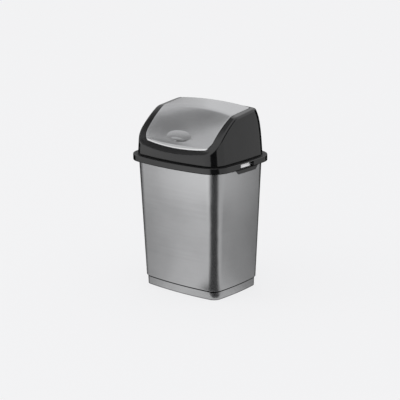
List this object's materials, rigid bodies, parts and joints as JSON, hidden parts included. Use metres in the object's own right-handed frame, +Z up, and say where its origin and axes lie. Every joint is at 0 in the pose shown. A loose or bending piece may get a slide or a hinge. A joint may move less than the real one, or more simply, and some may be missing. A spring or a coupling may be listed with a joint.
{
  "type": "trash can",
  "caption": "Tapered rectangular kitchen bin with a hooded lid frame that snaps over its rim and a curved flap that swings on side pins.",
  "frame": {"origin": "middle of the footprint, on the surface that the bin stands on", "axes": "+Z up, -Y towards the front, where the flap slopes down and its thumb dish is, +X to the right as seen from the front"},
  "size_m": [0.25, 0.212, 0.3928],
  "materials": {
    "bin_silver": "silver metallic moulding plastic, satin",
    "lid_black": "black moulding plastic, gloss",
    "flap_silver": "silver metallic moulding plastic, semi-gloss"
  },
  "bodies": {
    "bin": {"bin_body": "bin_silver"},
    "lid": {"lid_frame": "lid_black"},
    "flap": {"swing_flap": "flap_silver"}
  },
  "joints": [
    {"name": "lid_lift", "type": "slide", "parent": "bin", "child": "lid", "axis": [0, 0, 1], "range_m": [0, 0.12]},
    {"name": "flap_swing", "type": "hinge", "parent": "lid", "child": "flap", "pos_m": [0, -0.024, 0.3595], "axis": [1, 0, 0], "range_deg": [0, 75]}
  ]
}
